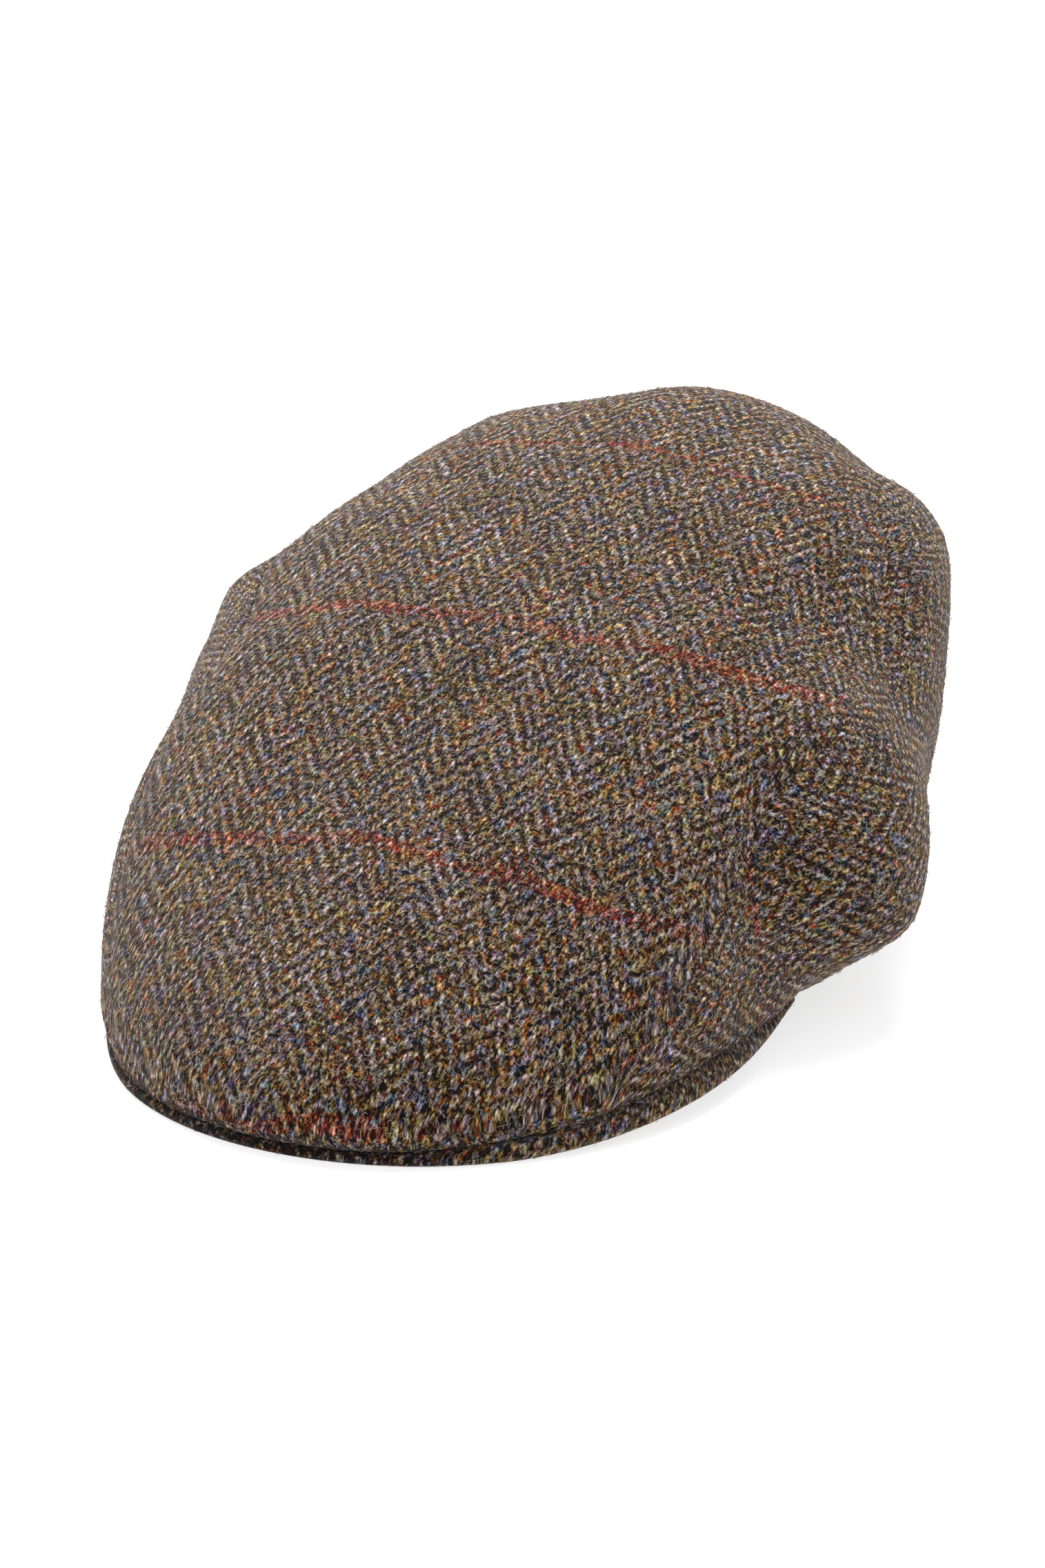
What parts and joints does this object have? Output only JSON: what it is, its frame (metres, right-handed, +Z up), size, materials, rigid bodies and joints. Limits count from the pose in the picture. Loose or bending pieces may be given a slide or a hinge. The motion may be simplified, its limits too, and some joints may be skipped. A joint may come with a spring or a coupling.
{
  "type": "flat cap",
  "caption": "Soft wool flat cap: a rounded crown of a top panel and side panels over a short stiff peak, open below for the head.",
  "frame": {"origin": "on the floor under the middle of the cap's bounding box, at the height of the back hem's underside", "axes": "+Z up, +Y to the back of the wearer's head, +X to the wearer's left, so the peak points along -Y"},
  "size_m": [0.22, 0.283, 0.1227],
  "materials": {
    "top_cloth": "matte wool tweed",
    "left_cloth": "matte wool tweed",
    "right_cloth": "matte wool tweed",
    "peak_cloth": "matte wool tweed"
  },
  "bodies": {
    "root": {"top_panel": "top_cloth", "side_panel_left": "left_cloth", "side_panel_right": "right_cloth", "peak": "peak_cloth"}
  },
  "joints": []
}
